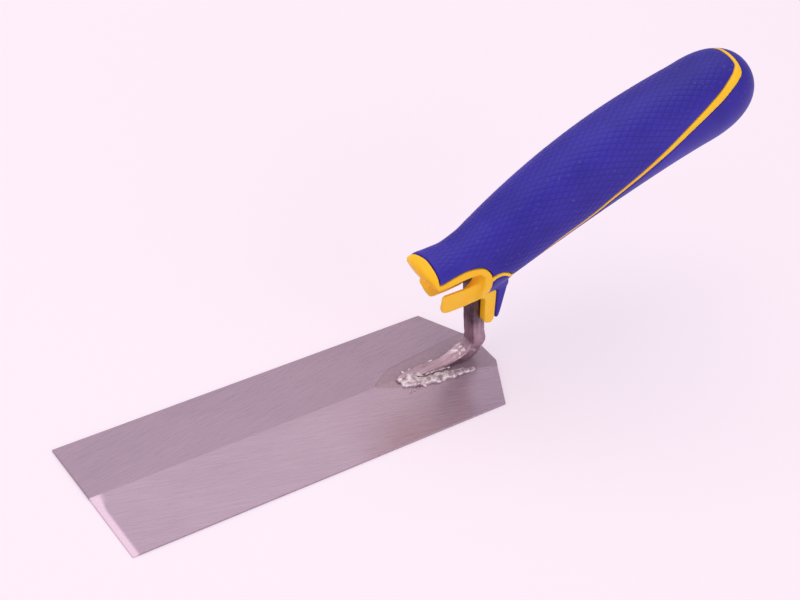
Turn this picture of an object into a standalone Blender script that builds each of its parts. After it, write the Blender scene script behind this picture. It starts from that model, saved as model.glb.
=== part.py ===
"""A small flat trowel: a ground steel blade, a bent and welded steel tang, and a two-colour moulded handle.

World frame, in metres: the origin is the centre of the blade's flat working face, +X runs from the blade's
front edge towards the handle, +Z is up, and the tool is symmetric about Y = 0 apart from its grinding.
Sizes below are in millimetres, and every length passes through MM once.
"""

import math

import bpy
import bmesh
from mathutils import Matrix, Vector

MM = 0.001
GAP = 0.3  # clearance between neighbouring pieces

# Blade
BLADE_LENGTH = 153.2
BLADE_WIDTH = 50.0
BLADE_FRONT = -BLADE_LENGTH / 2
CORNER_CUT_X = 10.5  # how far each rear corner is cut back along the blade
REAR_EDGE_HALF = 6.5  # half the straight rear edge left between the two cuts
CREASE_Y = 1.2  # the two grinding passes meet on this line
CREASE_THICK = 1.1
SIDE_THICK = 0.85
FRONT_BEVEL = 2.5
FRONT_THICK = 0.5
FRONT_EASE = 0.1  # how little the far half's front edge is eased
BEVEL_END = 0.3  # the near half's bevel runs out over this width at the crease

# Tang: a square bar, forged thin where it lies on the blade
BAR = 5.7
BAR_CHAMFER = 0.2  # share of the bar's width

# Handle
NECK = Vector((67.1, 0, 49.2))  # where the grip's neck is centred
PITCH = math.radians(20)
NECK_RADIUS = 11.9
GRIP_RADIUS = 14.6
NECK_TO_FULL = 66  # the grip reaches its full radius this far from the neck
ARCH_TOP = 60  # where the grip's bowed centre line is highest
ARCH_RISE = 6.6
ARCH_RADIUS = 266
DOME_START = 89  # the bow also stops here
BUTT_END = 111.6
DOME_POWER = 2.4
BODY_STATIONS = (0, 6, 12, 20, 28, 38, 48, 60, 72, 82, 89, 94, 98, 102, 105, 107.5, 109.4, 110.7, 111.4)
GRIP_SKIN = 2.5  # thickness of the soft overmould
HOUSING_HALF = 6.0
HOUSING_INNER_HALF = 4.6
LEG_HALF = 6.2
PRONG_GAP_HALF = 3.05  # the two prongs stand apart by twice this
SIDES = 40  # points round a section
CORE_START = -26  # the hard core under the soft overmould begins here
LEAST_RADIUS = 1.5  # sections smaller than this are left off the end of the dome
CUTTER_HALF = 30  # half width of bodies that cut right through the handle
CUTTER_FAR = 60  # and how far above and below it they reach


def clear_scene():
    for obj in list(bpy.data.objects):
        bpy.data.objects.remove(obj, do_unlink=True)


def collection(name):
    made = bpy.data.collections.new(name)
    bpy.context.scene.collection.children.link(made)
    return made


def material(name, colour, roughness, metallic):
    made = bpy.data.materials.new(name)
    made.use_nodes = True
    shader = made.node_tree.nodes["Principled BSDF"]
    shader.inputs["Base Color"].default_value = (*colour, 1)
    shader.inputs["Roughness"].default_value = roughness
    shader.inputs["Metallic"].default_value = metallic
    made.diffuse_color = (*colour, 1)
    return made


def new_object(name, mesh, home, frame=None):
    obj = bpy.data.objects.new(name, mesh)
    home.objects.link(obj)
    obj.matrix_world = frame or Matrix.Identity(4)
    return obj


def loft(name, rings, home, frame=None):
    """A closed body through rings of points that all have the same count."""
    bm = bmesh.new()
    loops = [[bm.verts.new(Vector(point) * MM) for point in ring] for ring in rings]
    for first, second in zip(loops, loops[1:]):
        for i in range(len(first)):
            j = (i + 1) % len(first)
            bm.faces.new((first[i], first[j], second[j], second[i]))
    bm.faces.new(loops[0])
    bm.faces.new(loops[-1])
    bmesh.ops.recalc_face_normals(bm, faces=bm.faces)
    mesh = bpy.data.meshes.new(name)
    bm.to_mesh(mesh)
    bm.free()
    return new_object(name, mesh, home, frame)


def prism(name, outline, half_width, home, frame=None):
    """A side outline in X and Z, filled and extruded to both sides of Y = 0."""
    curve = bpy.data.curves.new(name, "CURVE")
    curve.dimensions = "2D"
    curve.fill_mode = "BOTH"
    curve.extrude = half_width * MM
    spline = curve.splines.new("POLY")
    spline.points.add(len(outline) - 1)
    for point, (x, z) in zip(spline.points, outline):
        point.co = (x * MM, z * MM, 0, 1)
    spline.use_cyclic_u = True
    upright = Matrix.Rotation(math.pi / 2, 4, "X")
    drawn = new_object(name + "_outline", curve, home, (frame or Matrix.Identity(4)) @ upright)
    bpy.context.view_layer.update()
    graph = bpy.context.evaluated_depsgraph_get()
    mesh = bpy.data.meshes.new_from_object(drawn.evaluated_get(graph))
    bm = bmesh.new()
    bm.from_mesh(mesh)
    bmesh.ops.remove_doubles(bm, verts=bm.verts, dist=1e-6)
    bmesh.ops.recalc_face_normals(bm, faces=bm.faces)
    bm.to_mesh(mesh)
    bm.free()
    solid = new_object(name, mesh, home, drawn.matrix_world.copy())
    bpy.data.objects.remove(drawn, do_unlink=True)
    return solid


def boolean(obj, operation, other):
    step = obj.modifiers.new(f"{operation.lower()}_{other.name}"[:60], "BOOLEAN")
    step.operation = operation
    step.solver = "EXACT"
    step.object = other


def copy_of(obj, name, home):
    """A second object on the same mesh, so that one body can be cut in two ways."""
    return new_object(name, obj.data, home, obj.matrix_world.copy())


# ---- blade ----


def rear_edge(y):
    """X of the blade's rear edge, with both corners cut."""
    beyond = max(abs(y) - REAR_EDGE_HALF, 0) / (BLADE_WIDTH / 2 - REAR_EDGE_HALF)
    return BLADE_FRONT + BLADE_LENGTH - CORNER_CUT_X * beyond


def blade_thickness(y):
    side = BLADE_WIDTH / 2
    share = (CREASE_Y - y) / (CREASE_Y + side) if y < CREASE_Y else (y - CREASE_Y) / (side - CREASE_Y)
    return CREASE_THICK + (SIDE_THICK - CREASE_THICK) * share


def build_blade(home):
    side = BLADE_WIDTH / 2
    rings = []
    for y in (-side, -REAR_EDGE_HALF, CREASE_Y - BEVEL_END, CREASE_Y, REAR_EDGE_HALF, side):
        thick = blade_thickness(y)
        front = FRONT_THICK if y < CREASE_Y else thick - FRONT_EASE
        x0, x1 = BLADE_FRONT, rear_edge(y)
        rings.append([(x0, y, 0), (x1, y, 0), (x1, y, thick), (x0 + FRONT_BEVEL, y, thick), (x0, y, front)])
    return loft("blade", rings, home)


# ---- tang ----

# Along the bar: X, Z, heading in degrees, thickness and width
TANG_PATH = (
    (39.2, 1.75, 0, 0.6, 1.6),
    (41.5, 2.0, 0, 1.2, 3.2),
    (50, 2.1, 0, 1.4, 4.2),
    (58.5, 2.35, 3, 1.9, 4.6),
    (64.2, 3.4, 16, 3.7, 5.4),
    (68.6, 5.4, 45, 5.8, BAR),
    (70.3, 8.4, 82, 5.9, BAR),
    (69.9, 11.5, 100, BAR, BAR),
    (68.7, 15.4, 103, BAR, BAR),
    (64.6, 33.0, 103, BAR, BAR),
    (63.5, 38.5, 98, BAR, BAR),
    (63.7, 42.5, 80, BAR, BAR),
    (65.9, 46.4, 50, BAR, BAR),
    (70.2, 49.3, 28, BAR, BAR),
    (78, 52.6, 22, BAR, BAR),
    (105, 63.5, 22, 5.0, 5.0),
    (125, 71.6, 22, 3.4, 3.4),
)


def tang_rings(extra):
    """Chamfered square sections along the bar, each larger all round by extra."""
    rings = []
    for x, z, heading, thick, wide in TANG_PATH:
        across = Vector((-math.sin(math.radians(heading)), 0, math.cos(math.radians(heading))))
        t, w = thick / 2 + extra, wide / 2 + extra
        cut_t, cut_w = t * 2 * BAR_CHAMFER, w * 2 * BAR_CHAMFER
        corners = (
            (w, t - cut_t), (w - cut_w, t), (cut_w - w, t), (-w, t - cut_t),
            (-w, cut_t - t), (cut_w - w, -t), (w - cut_w, -t), (w, cut_t - t),
        )
        rings.append([Vector((x, y, z)) + across * up for y, up in corners])
    return rings


def build_tang(home):
    return loft("tang", tang_rings(0), home)


# ---- weld beads ----

WELD_START, WELD_END = 40.5, 67.5
WELD_INNER = (1.8, 3.3)  # Y of the bead's inner side at its start and end
WELD_OUTER = (3.6, 6.6)
WELD_HEIGHT = 2.6
WELD_RIPPLES = 7
RIPPLE_DEPTH = 0.1  # share of the bead's size
WELD_STEPS = 28
WELD_END_SHARE = 0.06  # the bead keeps the size it has this far from its ends
WELD_FULLNESS = 0.45  # smaller makes the bead keep its size for longer
SHOULDER = (0.75, 0.72)  # where the bead's top turns down, as shares of its width and height


def build_weld(name, side, home):
    """A rippled fillet along one side of the tang's foot, thinning out at both ends."""
    floor = CREASE_THICK + GAP / 2
    rings = []
    for i in range(WELD_STEPS + 1):
        along = i / WELD_STEPS
        within = min(max(along, WELD_END_SHARE), 1 - WELD_END_SHARE)
        swell = math.sin(math.pi * within) ** WELD_FULLNESS
        ripple = 1 + RIPPLE_DEPTH * math.sin(2 * math.pi * WELD_RIPPLES * along)
        inner = WELD_INNER[0] + (WELD_INNER[1] - WELD_INNER[0]) * along
        outer = WELD_OUTER[0] + (WELD_OUTER[1] - WELD_OUTER[0]) * along
        reach = inner + (outer - inner) * swell * ripple
        height = WELD_HEIGHT * swell * ripple
        x = WELD_START + (WELD_END - WELD_START) * along
        shoulder = inner + (reach - inner) * SHOULDER[0], floor + height * SHOULDER[1]
        bead = ((inner, floor), (reach, floor), shoulder, (inner, floor + height))
        rings.append([(x, side * y, z) for y, z in bead])
    return loft(name, rings, home)


# ---- handle ----


def handle_frame():
    return Matrix.Translation(NECK * MM) @ Matrix.Rotation(-PITCH, 4, "Y")


def grip_radius(along):
    radius = GRIP_RADIUS - (GRIP_RADIUS - NECK_RADIUS) * max(1 - along / NECK_TO_FULL, 0) ** 2
    dome = min(max((along - DOME_START) / (BUTT_END - DOME_START), 0), 1)
    return radius * (1 - dome**DOME_POWER) ** (1 / DOME_POWER)


def grip_centre(along):
    return ARCH_RISE - (min(along, DOME_START) - ARCH_TOP) ** 2 / (2 * ARCH_RADIUS)


# The thumb rest, ahead of the neck: along, half width, top, bottom, squareness and the fall of its arch
REST_SECTIONS = (
    (-27.2, 8.6, 10.4, -6, 4, 2.2),
    (-26, 9.0, 12.4, -7, 4, 2.4),
    (-24, 9.1, 12.8, -8.5, 4, 2.4),
    (-19, 9.2, 11.6, -10.5, 3.6, 2.2),
    (-13, 9.4, 10.5, -13, 2.8, 1.2),
    (-7, 10.0, 10.8, -13, 2.4, 0.4),
)
ARCH_SHARP = 0.2  # how quickly the rest's arched top starts to fall


def section(along, half, top, bottom, power, fall, skin):
    """A closed superellipse across the handle with an arched top, drawn in from its surface by skin."""
    a, b, middle = half - skin, (top - bottom) / 2 - skin, (top + bottom) / 2
    ring = []
    for i in range(SIDES):
        angle = 2 * math.pi * i / SIDES
        c, s = math.cos(angle), math.sin(angle)
        y = math.copysign(abs(c) ** (2 / power), c) * a
        z = math.copysign(abs(s) ** (2 / power), s) * b
        arch = (math.hypot(y / half, ARCH_SHARP) - ARCH_SHARP) / (math.hypot(1, ARCH_SHARP) - ARCH_SHARP)
        ring.append((along, y, middle + z - fall * arch * max(z / b, 0)))
    return ring


def handle_body(name, skin, home):
    """The handle's whole outer form, or the same form drawn in by skin."""
    rings = [section(*row, skin) for row in REST_SECTIONS if not skin or row[0] > CORE_START]
    for along in BODY_STATIONS:
        radius, middle = grip_radius(along), grip_centre(along)
        if radius > skin + LEAST_RADIUS:
            rings.append(section(along, radius, middle + radius, middle - radius, 2, 0, skin))
    return loft(name, rings, home, handle_frame())


# The stripe between the two soft panels, seen from the side in the handle's own frame: along, height, width
STRIPE = (
    (-9, -4.2, 1.4),
    (-7, -3.4, 1.4),
    (-4.5, -2.0, 1.4),
    (-2.4, -1.8, 1.4),
    (-0.7, -3.2, 1.3),
    (1.2, -6.0, 1.0),
    (4.6, -6.6, 0.7),
    (9, -6.0, 0.6),
    (13, -4.8, 0.7),
    (20.4, -1.5, 0.8),
    (27.7, -0.5, 0.9),
    (35, 1.1, 1.0),
    (42, 3.3, 1.2),
    (53, 5.8, 1.3),
    (67, 9.0, 1.7),
    (77.5, 11.3, 1.8),
    (88.8, 13.1, 1.9),
    (96, 14.4, 1.9),
    (100.5, 14.8, 1.9),
    (103.1, 15.0, 1.8),
    (104.2, 16.0, 1.5),
    (104.8, 17.5, 1.4),
    (105.2, 20, 1.3),
)


def stripe_edges(extra):
    """The stripe's upper and lower edges, each moved out by extra."""
    upper, lower = [], []
    for i, (x, z, width) in enumerate(STRIPE):
        before, after = STRIPE[max(i - 1, 0)], STRIPE[min(i + 1, len(STRIPE) - 1)]
        heading = math.atan2(after[1] - before[1], after[0] - before[0])
        out = width / 2 + extra
        dx, dz = -math.sin(heading) * out, math.cos(heading) * out
        upper.append((x + dx, z + dz))
        lower.append((x - dx, z - dz))
    return upper, lower


# Side outlines in world X and Z. The ring is the hard front rim that hooks round into two prongs.
RING_EDGE = (
    (41.4, 48.6), (48, 49.8), (55.5, 50.6), (59.0, 50.0), (61.4, 47.7), (62.7, 44.8), (63.2, 42),
    (63.1, 39.8), (62.9, 37.6), (62.7, 34), (62.7, 26),
)
FRONT_LOW, FRONT_HIGH, FRONT_START = 26, 80, 20
UNDERCUT = (
    (30, 45.0), (40.7, 46.3), (51.2, 47.4), (57.0, 47.9), (58.8, 46.8), (59.5, 44.8), (59.7, 42),
    (59.9, 38), (60.6, 33), (62.4, 20), (30, 20),
)
PRONG = (
    (45.7, 40.6), (45.7, 38.4), (46.6, 35.1), (47.6, 33.3), (49.4, 32.2), (56.1, 32.3), (61, 33.0),
    (62.6, 34.2), (62.8, 42), (61.8, 44.6), (60.2, 44.8), (59.2, 42.4), (57.6, 41.2), (54, 40.8),
)
CHANNEL = (
    (61.8, 35), (61.8, 33.3), (65.2, 32.6), (67.1, 22.4), (67.9, 20.8), (69.2, 20.4), (70.6, 20.3),
    (71.4, 21.8), (70.0, 31.6), (69.5, 34.8), (66, 34.9),
)
HOUSING = (61.6, 69.3, 33.7, 46)  # front, rear, foot and top of the block that holds the tang inside the grip
LEG = (
    (71.8, 21.6), (73.2, 22.4), (73.8, 35), (73.6, 37.5), (71.5, 41), (68, 45), (63.1, 46), (63.0, 35.2),
    (65.5, 35.2), (69.8, 35.1), (70.3, 31.6),
)
PRONG_GAP = ((30, 24), (30, 45), (60.5, 45), (64, 44), (66, 30), (66, 24))


def ring_region(name, extra, home):
    """The front of the handle, up to the edge of the soft pad moved forward by extra."""
    edge = [(x - extra, z - extra) for x, z in RING_EDGE]
    corners = [(FRONT_START, FRONT_LOW), (FRONT_START, FRONT_HIGH), (edge[0][0], FRONT_HIGH)]
    return prism(name, corners + edge, CUTTER_HALF, home)


def panel_region(name, edge, side, home):
    """Everything to one side of the stripe: side is 1 above it and -1 below it."""
    (first_x, first_z), (last_x, last_z) = edge[0], edge[-1]
    front, rear, far = first_x - CUTTER_FAR, last_x + CUTTER_FAR, side * CUTTER_FAR
    outline = [(front, first_z), *edge, (rear, last_z), (rear, far), (front, far)]
    return prism(name, outline, CUTTER_HALF, home, handle_frame())


def housing_block(name, extra, home):
    front, rear, foot, top = HOUSING
    front, rear, foot, top = front - extra, rear + extra, foot - extra, top + extra
    outline = ((front, foot), (front, top), (rear, top), (rear, foot))
    return prism(name, outline, HOUSING_INNER_HALF + extra, home)


def build_handle(home, cutters):
    outer = handle_body("outer_form", 0, cutters)
    inner = handle_body("core_form", GRIP_SKIN + GAP, cutters)
    inner_gap = handle_body("core_form_clearance", GRIP_SKIN, cutters)
    undercut = prism("undercut", UNDERCUT, CUTTER_HALF, cutters)
    upper_edge, lower_edge = stripe_edges(0)
    stripe = prism("stripe_band", upper_edge + lower_edge[::-1], CUTTER_HALF, cutters, handle_frame())
    tang_socket = loft("tang_socket", tang_rings(GAP), cutters)
    prong_gap = prism("prong_gap", PRONG_GAP, PRONG_GAP_HALF, cutters)
    channel_gap = prism("channel_clearance", CHANNEL, HOUSING_HALF + GAP, cutters)
    housing_gap = housing_block("housing_clearance", GAP, cutters)

    ridge = copy_of(outer, "stripe_ridge", cutters)
    boolean(ridge, "INTERSECT", stripe)
    front = copy_of(outer, "front_form", cutters)
    boolean(front, "INTERSECT", ring_region("front_region", GAP, cutters))

    core = copy_of(inner, "handle_core", home)
    for piece in (ridge, front):
        boolean(core, "UNION", piece)
    boolean(core, "DIFFERENCE", undercut)
    boolean(core, "UNION", prism("prong", PRONG, HOUSING_HALF, cutters))
    boolean(core, "UNION", housing_block("housing", 0, cutters))
    boolean(core, "UNION", prism("channel", CHANNEL, HOUSING_HALF, cutters))
    boolean(core, "DIFFERENCE", prong_gap)
    boolean(core, "DIFFERENCE", tang_socket)

    gap_upper, gap_lower = stripe_edges(GAP)
    front_gap = ring_region("front_clearance", 0, cutters)

    upper = copy_of(outer, "upper_grip", home)
    boolean(upper, "INTERSECT", panel_region("upper_region", gap_upper, 1, cutters))
    boolean(upper, "DIFFERENCE", inner_gap)
    boolean(upper, "DIFFERENCE", front_gap)

    leg = prism("leg", LEG, LEG_HALF, cutters)
    lower = copy_of(outer, "lower_grip", home)
    boolean(lower, "INTERSECT", panel_region("lower_region", gap_lower, -1, cutters))
    boolean(lower, "UNION", leg)
    for clearance in (inner_gap, front_gap, channel_gap, housing_gap):
        boolean(lower, "DIFFERENCE", clearance)
    return core, upper, lower


def main():
    clear_scene()
    tool = collection("margin_trowel")
    cutters = collection("cutters")
    steel = material("ground_steel", (0.45, 0.43, 0.43), 0.35, 1)
    bar_steel = material("bar_steel", (0.14, 0.12, 0.12), 0.45, 1)
    weld_metal = material("weld_metal", (0.5, 0.47, 0.47), 0.4, 1)
    core_plastic = material("core_plastic", (0.93, 0.5, 0.05), 0.4, 0)
    grip_rubber = material("grip_rubber", (0.035, 0.03, 0.38), 0.55, 0)

    build_blade(tool).data.materials.append(steel)
    build_tang(tool).data.materials.append(bar_steel)
    build_weld("weld_bead_near", -1, tool).data.materials.append(weld_metal)
    build_weld("weld_bead_far", 1, tool).data.materials.append(weld_metal)
    core, upper, lower = build_handle(tool, cutters)
    for piece, finish in ((core, core_plastic), (upper, grip_rubber), (lower, grip_rubber)):
        piece.data = piece.data.copy()
        piece.data.materials.append(finish)
    for helper in cutters.objects:
        helper.hide_render = True
        helper.display_type = "WIRE"


main()
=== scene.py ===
"""Looks for a small flat trowel: ground blade, forged tang, weld beads and a two-colour moulded handle.

Sizes are in millimetres in the frame's own axes (origin at the centre of the blade's underside, +X towards
the handle, +Z up) and pass through MM once, when a mesh or a lamp is made.
"""

import math

import bpy
import numpy as np
from mathutils import Matrix, Vector


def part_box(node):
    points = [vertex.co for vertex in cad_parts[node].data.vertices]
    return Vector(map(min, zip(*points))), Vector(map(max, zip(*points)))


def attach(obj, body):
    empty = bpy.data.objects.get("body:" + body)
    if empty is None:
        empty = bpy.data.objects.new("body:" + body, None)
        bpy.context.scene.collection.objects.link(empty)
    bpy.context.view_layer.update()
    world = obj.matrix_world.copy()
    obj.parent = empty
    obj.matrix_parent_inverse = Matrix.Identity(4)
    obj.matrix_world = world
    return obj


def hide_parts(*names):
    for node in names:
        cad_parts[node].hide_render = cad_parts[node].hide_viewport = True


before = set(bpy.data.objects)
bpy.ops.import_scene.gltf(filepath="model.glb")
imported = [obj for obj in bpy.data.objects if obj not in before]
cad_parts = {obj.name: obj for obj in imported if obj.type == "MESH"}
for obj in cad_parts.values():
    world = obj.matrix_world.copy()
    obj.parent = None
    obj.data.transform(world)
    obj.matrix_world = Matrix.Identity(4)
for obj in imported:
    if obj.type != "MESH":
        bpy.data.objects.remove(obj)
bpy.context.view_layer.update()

MM = 0.001
SEED = 7
DEEP_INSIDE = -99.0  # a distance so far inside that it never counts

# Blade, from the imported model
BLADE_LOW, BLADE_HIGH = (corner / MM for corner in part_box("blade"))
FRONT, REAR = BLADE_LOW.x, BLADE_HIGH.x
HALF_WIDTH = BLADE_HIGH.y
CREASE_THICK = BLADE_HIGH.z
SIDE_THICK = CREASE_THICK - 0.25
CREASE_Y = 1.2  # the two grinding passes meet on this line
CORNER_CUT = 10.5  # how far each rear corner is cut back along the blade
REAR_EDGE_HALF = 6.5
BEVEL_WIDTH = 2.6
BEVEL_DROP = 0.5
BEVEL_FADE = 1.5  # the bevel runs out over this width beside the crease
BRIGHT_WIDENS = 1.8  # its bright, freshly ground band is this much wider at the crease
EDGE_ROUND = 0.1
NEAR_GRIND = math.radians(-14)  # heading of the scratches on each half
FAR_GRIND = math.radians(9)

# The land left unground round the weld
LAND = (
    (29.7, 1.1), (34.0, 3.6), (38.0, 6.4), (56, 8.4), (74.1, 10.3), (80, 10.9), (80, -9.2), (74.9, -8.5),
    (68.1, -6.65), (54, -4.9), (39.5, -3), (34, -0.6),
)
LAND_RISE = 0.16
LAND_STEP = 0.35

# Handle, in its own frame: x runs along the handle from the neck, z across it and up
NECK_X = REAR - 9.5
NECK_Z = 49.2
PITCH = math.radians(20)
NECK_RADIUS = 11.9
GRIP_RADIUS = 14.6
NECK_TO_FULL = 66
ARCH_TOP = 60
ARCH_RISE = 6.6
ARCH_RADIUS = 266
DOME_START = 89
BUTT_END = 111.58
DOME_POWER = 2.4
REST_FRONT = -25.4  # where the thumb rest's lower front edge runs straight across
LIP_BULGE = 1.9  # how far the rest's front swells ahead of that edge
LIP_FADE = 0.8  # share of the swelling lost at its sides
LIP_FOOT = 5.4
LIP_CREST = 10
GAP = 0.3
GRIP_SKIN = 2.5
HOUSING_HALF = 6.0
PRONG_GAP_HALF = 3.05
BLEND = {  # how softly moulded edges turn
    "mould": 0.6, "pad": 0.5, "crisp": 0.3, "prong": 1.2, "leg": 2.2, "mouth": 1.0, "slope": 1.0, "tip": 0.8,
    "rest": 0.8,
}

# The thumb rest ahead of the neck: along, half width, top, bottom, squareness, and the fall of its arched top
REST_SECTIONS = (
    (-27.2, 8.8, 11.6, -7, 4, 2.4),
    (-26, 9.0, 12.5, -7.5, 4, 2.4),
    (-24, 9.1, 12.8, -8.5, 4, 2.4),
    (-19, 9.2, 11.6, -10.5, 3.6, 2.2),
    (-13, 9.4, 10.5, -13, 2.8, 1.2),
    (-7, 10.0, 10.8, -13, 2.4, 0.4),
)
ARCH_SHARP = 0.2  # how quickly the rest's arched top starts to fall

# The stripe between the soft pads, in the handle's frame: along, height, width
STRIPE = (
    (-9, -4.2, 1.4), (-7, -3.4, 1.4), (-4.5, -2.0, 1.4), (-2.4, -1.8, 1.4), (-0.7, -3.2, 1.3),
    (1.2, -6.0, 1.0), (4.6, -6.6, 0.7), (9, -6.0, 0.6), (13, -4.8, 0.7), (20.4, -1.5, 0.8), (27.7, -0.5, 0.9),
    (35, 1.1, 1.0),
    (42, 3.3, 1.2), (53, 5.8, 1.3), (67, 9.0, 1.7), (77.5, 11.3, 1.8), (88.8, 13.1, 1.9), (96, 14.4, 1.9),
    (100.5, 14.8, 1.9), (103.1, 15.0, 1.8), (104.2, 16.0, 1.5), (104.8, 17.5, 1.4), (105.2, 20, 1.3),
)
FAR_STRIPE_DROP = 3.2  # the stripe runs lower on the far side of the butt
FAR_STRIPE_ACROSS = (0, 5)  # where the drop sets in across the handle
FAR_STRIPE_IN = (35, 95)  # where it sets in along the handle
FAR_STRIPE_OUT = (109, 99)  # and where it ends, read from the butt

# Side outlines in X and Z. The ring is the hard front rim that hooks round into two prongs.
RING_EDGE = (
    (41.4, 48.6), (48, 49.8), (55.5, 50.6), (59.0, 50.0), (61.4, 47.7), (62.7, 44.8), (63.2, 42),
    (63.1, 39.8), (62.9, 37.6), (62.7, 34), (62.7, 26),
)
UNDERCUT = (
    (30, 45.0), (40.7, 46.3), (51.2, 47.4), (57.0, 47.9), (58.8, 46.8), (59.5, 44.8), (59.7, 42), (59.9, 38),
    (60.6, 33), (62.4, 20), (30, 20),
)
PRONG = (
    (46.8, 40.5), (45.7, 38.9), (46.3, 34.9), (47.4, 32.9), (49.6, 31.9), (56.1, 32.2), (61, 33.0),
    (63.8, 34.6), (63.8, 42), (62.8, 44.6), (60.2, 44.8), (59.2, 42.4), (57.6, 41.2), (54, 40.8),
)
PRONG_TOP = 40.7  # height of the prongs' outer upper edge; their tops slope down inwards from it
PRONG_TIP = 45.7
PRONG_FOOT = 31.9
PRONG_SLANT = 0.85  # the tips are cut back inwards by this much for each mm across
FAR_TIP, FAR_TIP_LEAN = (44.9, 41), 0.6  # the far prong's end leans back below this X and Z
FAR_REACH = 1.3  # and its tip stands this much further forward
FAR_REACH_FADE = 8
PRONG_SPREAD = (56, 62.5)  # the prongs widen into the ring between these places
PRONG_SPREAD_FOOT = (33, 39)  # and less so low down, between these heights
PRONG_CREST_FADE = 3  # how far the slope of their tops is lowered where they join the ring
RING_HALF = 9.3
SOCKET_HALF = 2.85  # half the tang's width
CHANNEL = (
    (62.2, 35), (62.2, 33.3), (65.2, 32.6), (67.1, 22.4), (67.9, 20.8), (69.2, 20.4), (70.6, 20.3),
    (71.4, 21.8), (70.0, 31.6), (69.5, 34.8), (66, 34.9),
)
HOUSING = ((61.6, 46), (61.5, 34), (63.3, 33.6), (69.3, 33.8), (69.4, 46))  # inside the grip
HOUSING_INNER_HALF = 4.6
LEG = (
    (71.8, 21.6), (73.2, 22.4), (73.8, 35), (73.6, 37.5), (71.5, 41), (68, 45), (63.1, 46), (63.0, 35.2),
    (65.5, 35.2), (69.8, 35.1), (70.3, 31.6),
)
LEG_HALF = 6.2
LEG_FLARE = 0.25  # how fast the leg widens where it runs up into the grip
LEG_TOP = 35
PRONG_GAP = ((30, 24), (30, 45), (60.5, 45), (64, 44), (66, 30), (66, 24))

# Cross-hatch moulded into the upper pad
HATCH_PITCH = 2.0
HATCH_TURN = math.radians(30)
HATCH_DEPTH = 0.13
HATCH_SHARE = 0.22  # half a groove's width over the pitch

# Tang: X, Z, thickness, width
TANG_PATH = (
    (38.6, 1.5, 0.5, 1.2), (41.5, 1.8, 0.9, 3.2), (50, 2.1, 1.4, 4.2), (58.5, 2.35, 1.9, 4.6),
    (64.2, 3.4, 3.7, 5.4), (68.6, 5.4, 5.8, 5.7), (70.3, 8.4, 5.9, 5.7), (69.9, 11.5, 5.7, 5.7),
    (68.7, 15.4, 5.7, 5.7), (64.6, 33.0, 5.7, 5.7), (63.5, 38.5, 5.7, 5.7), (63.7, 42.5, 5.7, 5.7),
    (65.9, 46.4, 5.7, 5.7), (70.2, 49.3, 5.7, 5.7), (78, 52.6, 5.7, 5.7), (105, 63.5, 5.0, 5.0),
    (125, 71.6, 3.4, 3.4),
)
TANG_STEPS = 14  # rings to each span of the path
BAR_ROUND = 0.2  # the bar's corner radius as a share of its thinner side
DENTS = ((2.2, 0.05), (6, 0.09))  # size and depth of the bar's unevenness

# Welds: x, distance to that side of the centre line, and radius. The cap runs up over the tang's foot.
FILLET = ((40.4, 2.0, 1.5), (45, 3.0, 1.9), (50, 4.1, 1.9), (56, 5.0, 1.8), (62, 5.8, 1.5), (66, 6.4, 0.9))
CAP = ((39.6, 0.3, 1.1), (44, 0.5, 1.4), (49, 1.3, 1.2), (54, 1.9, 1.0), (59, 2.3, 0.7))
FAR_FILLET = ((43, 2.1, 0.6), (52, 2.5, 0.7), (60, 2.8, 0.7), (64, 3.0, 0.5))
CREVICE = ((45.8, 2.1), (48.3, 2.7), (51.5, 2.8), (53.5, 2.6), (57.6, 3.3), (61.8, 4.0), (66.2, 4.3))
CREVICE_HALF = 0.3
CREVICE_FLOOR = 1.3
BEAD_BLEND = 0.8
BEAD_SUNK = 0.15  # how far the beads reach into the blade
BEAD_ROUGH = ((2.2, 0.15), (0.9, 0.02))  # size and height of the beads' unevenness
WELD_CELL = 0.17
WELD_MARGIN = 2.5


# ---- numbers ----


def through(stations, values, at):
    """A smooth curve through values at stations that never overshoots them, read at any places."""
    stations, values = np.asarray(stations, float), np.asarray(values, float)
    steps = np.diff(stations)
    slopes = np.diff(values) / steps
    same = slopes[:-1] * slopes[1:] > 0
    inner = np.zeros(len(slopes) - 1)
    inner[same] = 2 * slopes[:-1][same] * slopes[1:][same] / (slopes[:-1] + slopes[1:])[same]
    tangents = np.concatenate([[slopes[0]], inner, [slopes[-1]]])
    at = np.clip(at, stations[0], stations[-1])
    i = np.clip(np.searchsorted(stations, at, side="right") - 1, 0, len(steps) - 1)
    t = (at - stations[i]) / steps[i]
    rise = values[i + 1] - values[i]
    start, end = tangents[i] * steps[i], tangents[i + 1] * steps[i]
    return values[i] + t * (start + t * (3 * rise - 2 * start - end + t * (start + end - 2 * rise)))


def flowing(points, pieces):
    """A Catmull-Rom curve through rows of numbers, with this many pieces to each span."""
    rows = np.asarray(points, float)
    rows = np.vstack([2 * rows[0] - rows[1], rows, 2 * rows[-1] - rows[-2]])
    made = []
    for p0, p1, p2, p3 in zip(rows, rows[1:], rows[2:], rows[3:]):
        for t in np.arange(pieces) / pieces:
            made.append(0.5 * (2 * p1 + (p2 - p0) * t + (2 * p0 - 5 * p1 + 4 * p2 - p3) * t**2
                               + (3 * p1 - p0 - 3 * p2 + p3) * t**3))
    return np.array([*made, rows[-2]])


def softened(outline, passes=2):
    """A closed outline with its corners cut, each pass making it rounder."""
    points = np.asarray(outline, float)
    for _ in range(passes):
        ahead = np.roll(points, -1, axis=0)
        points = np.stack([0.85 * points + 0.15 * ahead, 0.15 * points + 0.85 * ahead], 1).reshape(-1, 2)
    return points


def smooth_share(value, low, high):
    """0 at low and 1 at high, turning smoothly between them."""
    t = np.clip((value - low) / (high - low), 0, 1)
    return t * t * (3 - 2 * t)


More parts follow.
